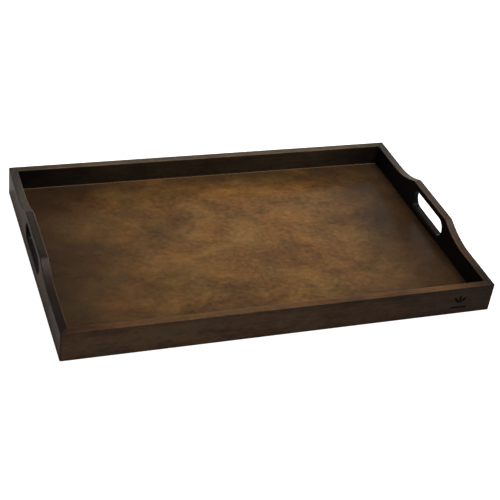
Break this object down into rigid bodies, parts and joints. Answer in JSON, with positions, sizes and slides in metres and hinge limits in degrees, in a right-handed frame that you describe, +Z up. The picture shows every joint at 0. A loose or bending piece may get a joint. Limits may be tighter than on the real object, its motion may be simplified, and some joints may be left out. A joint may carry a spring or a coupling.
{
  "type": "serving tray",
  "caption": "Rectangular wooden serving tray: mitred upright boards around a grooved-in floor panel, with a raised handle and a round-ended hand slot at each end.",
  "frame": {"origin": "on the standing surface, under the middle of the tray", "axes": "+X along the length towards the right-hand handle, +Y towards the back rail, +Z up"},
  "size_m": [0.6, 0.388, 0.0585],
  "materials": {
    "stained_board": "satin dark walnut stain, lighter on worn edges",
    "stained_panel": "satin burnished walnut stain, golden in the middle and darker at the rim",
    "spline_wood": "bare pale plywood, glued"
  },
  "bodies": {
    "root": {"front_rail": "stained_board", "back_rail": "stained_board", "left_end": "stained_board", "right_end": "stained_board", "base_panel": "stained_panel", "spline_front_left": "spline_wood", "spline_front_right": "spline_wood", "spline_back_left": "spline_wood", "spline_back_right": "spline_wood"}
  },
  "joints": []
}
